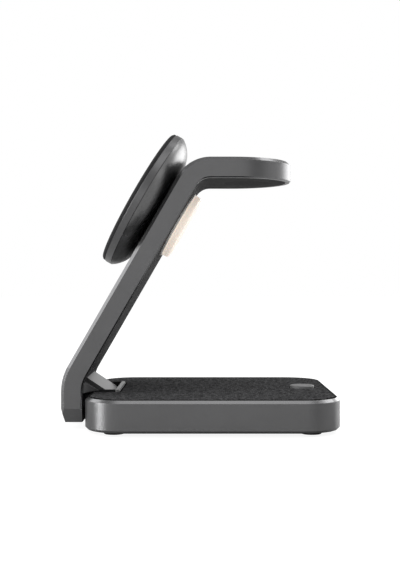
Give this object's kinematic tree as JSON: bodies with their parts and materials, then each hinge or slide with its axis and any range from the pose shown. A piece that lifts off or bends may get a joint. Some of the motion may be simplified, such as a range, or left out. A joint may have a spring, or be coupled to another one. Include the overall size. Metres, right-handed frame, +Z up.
{
  "type": "wireless charging stand",
  "caption": "Charging stand: rounded base with a fabric top, leaning bent arm with a magnetic phone disc, round night light, watch place on its flat head, push button on the base.",
  "frame": {"origin": "on the table, below the middle of the whole stand", "axes": "+Z up, +X from the arm's foot towards the end of the base with the socket, +Y across the base; the phone disc faces -X and up"},
  "size_m": [0.1086, 0.09, 0.119],
  "materials": {
    "band_metal": "satin dark grey, blasted and anodised",
    "bright_metal": "satin light grey",
    "dark_cover": "matte",
    "black_plastic": "matte",
    "base_fabric": "fine woven, dark grey",
    "gloss_shell": "gloss black",
    "soft_black": "matte, soft",
    "white_plastic": "matte white",
    "cream_diffuser": "translucent warm white",
    "copper_winding": "enamelled copper",
    "steel_parts": "plain steel",
    "magnets": "plated",
    "ferrite": "dull dark grey",
    "circuit_board": "green solder mask",
    "lamps": "pale yellow"
  },
  "bodies": {
    "stand": {"base_frame": "band_metal", "base_floor": "black_plastic", "base_deck": "black_plastic", "fabric_top": "base_fabric", "slot_trim": "bright_metal", "button_switch": "black_plastic", "base_board": "circuit_board", "usb_c_socket": "steel_parts", "base_coil": "copper_winding", "base_ferrite": "ferrite", "ballast_plate": "steel_parts", "base_feet": "soft_black", "base_screws": "steel_parts", "arm_frame": "band_metal", "arm_cover": "dark_cover", "arm_flex_cable": "copper_winding", "brace_block": "dark_cover", "brace_plate": "bright_metal", "brace_screws": "steel_parts", "watch_puck": "white_plastic", "watch_coil": "copper_winding", "watch_ferrite": "ferrite", "watch_magnet": "magnets", "watch_board": "circuit_board", "head_plug": "black_plastic", "phone_pad": "soft_black", "phone_rim": "band_metal", "phone_back_shell": "gloss_shell", "phone_magnets": "magnets", "phone_coil": "copper_winding", "phone_ferrite": "ferrite", "phone_board": "circuit_board", "phone_screws": "steel_parts", "light_ring": "white_plastic", "light_diffuser": "cream_diffuser", "light_board": "white_plastic", "light_leds": "lamps"},
    "button": {"lamp_button": "bright_metal"}
  },
  "joints": [
    {"name": "button_press", "type": "slide", "parent": "stand", "child": "button", "axis": [0, 0, -1], "range_m": [0, 0.0004], "stiffness_N_per_m": 600, "springref_m": -0.0006}
  ]
}
